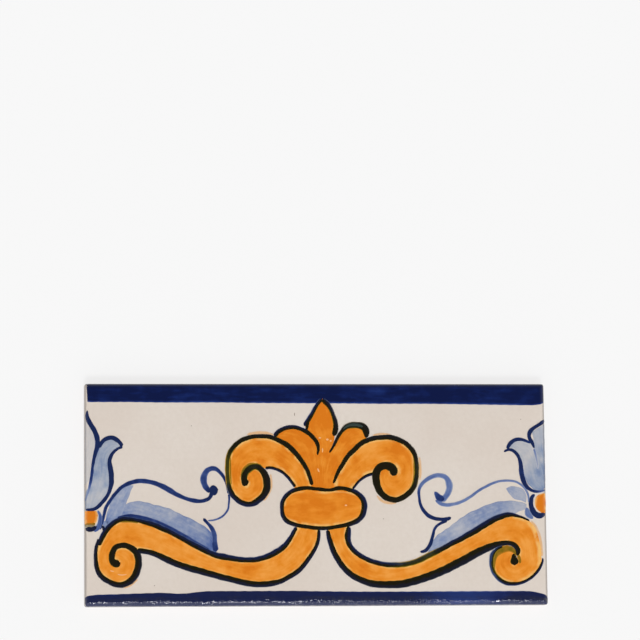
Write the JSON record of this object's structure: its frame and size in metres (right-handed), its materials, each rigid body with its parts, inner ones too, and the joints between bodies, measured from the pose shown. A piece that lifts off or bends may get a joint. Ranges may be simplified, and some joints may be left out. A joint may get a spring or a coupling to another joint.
{
  "type": "azulejo border tile",
  "caption": "Rectangular glazed ceramic border tile with painted scrollwork between dark bands, a rounded glazed arris and a keyed back.",
  "frame": {"origin": "middle of the back, on the plane that the tile lies on", "axes": "+X runs along the border, +Y points to the upper edge of the painted border, +Z points out of the glazed face"},
  "size_m": [0.15, 0.072, 0.008],
  "materials": {
    "clay_body": "unglazed fired earthenware, matt",
    "tin_glaze": "opaque warm white tin glaze, glossy",
    "navy_paint": "dense cobalt blue under gloss, almost black",
    "cobalt_paint": "cobalt blue wash and line, glossy",
    "orange_paint": "orange ochre brushed in streaks, glossy",
    "outline_paint": "dark manganese and cobalt outline, glossy"
  },
  "bodies": {
    "root": {"border_tile": "clay_body"}
  },
  "joints": []
}
